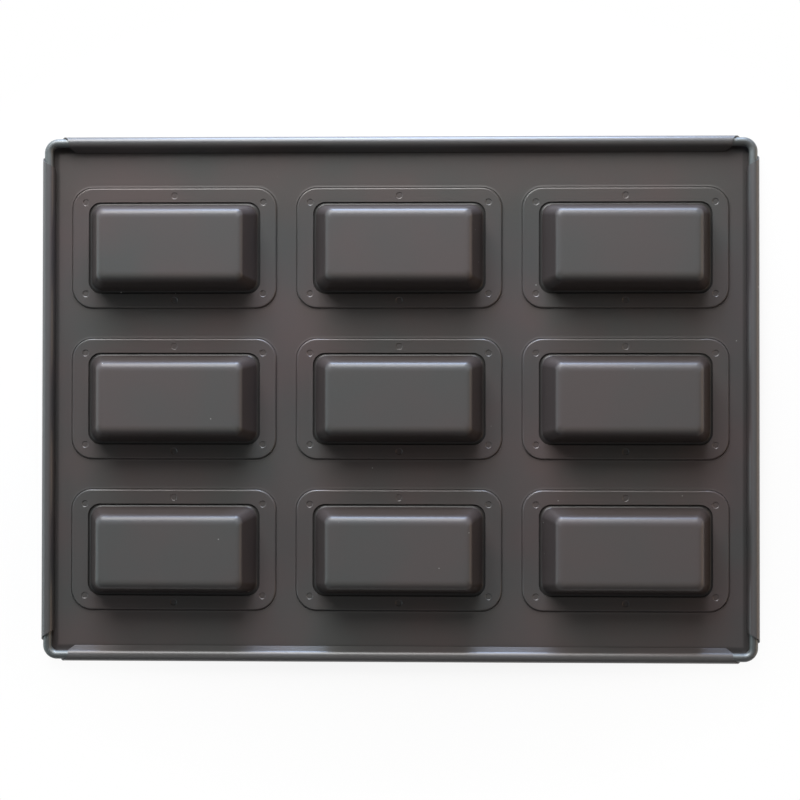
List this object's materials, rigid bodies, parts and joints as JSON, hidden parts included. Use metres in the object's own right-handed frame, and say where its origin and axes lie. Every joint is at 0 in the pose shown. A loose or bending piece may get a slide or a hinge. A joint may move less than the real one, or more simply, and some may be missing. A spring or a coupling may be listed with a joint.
{
  "type": "financier pan",
  "caption": "Coated steel baking pan with rows of sloping ingot moulds welded into a pressed sheet whose edges are rolled round a wire.",
  "frame": {"origin": "centre of the flat baking face, which lies on the table as pictured", "axes": "+X along the pan's length, to the right in the picture; +Y across it, towards the top of the picture; +Z out of the underside, the way the moulds stand"},
  "size_m": [0.35, 0.2566, 0.017],
  "materials": {
    "coated_sheet": "satin dark grey non-stick coating on steel sheet",
    "coated_mould": "satin dark grey non-stick coating on drawn steel",
    "rim_wire": "dull grey steel wire"
  },
  "bodies": {
    "root": {"base_sheet": "coated_sheet", "rim_wire": "rim_wire", "mould_r1c1": "coated_mould", "mould_r1c2": "coated_mould", "mould_r1c3": "coated_mould", "mould_r2c1": "coated_mould", "mould_r2c2": "coated_mould", "mould_r2c3": "coated_mould", "mould_r3c1": "coated_mould", "mould_r3c2": "coated_mould", "mould_r3c3": "coated_mould"}
  },
  "joints": []
}
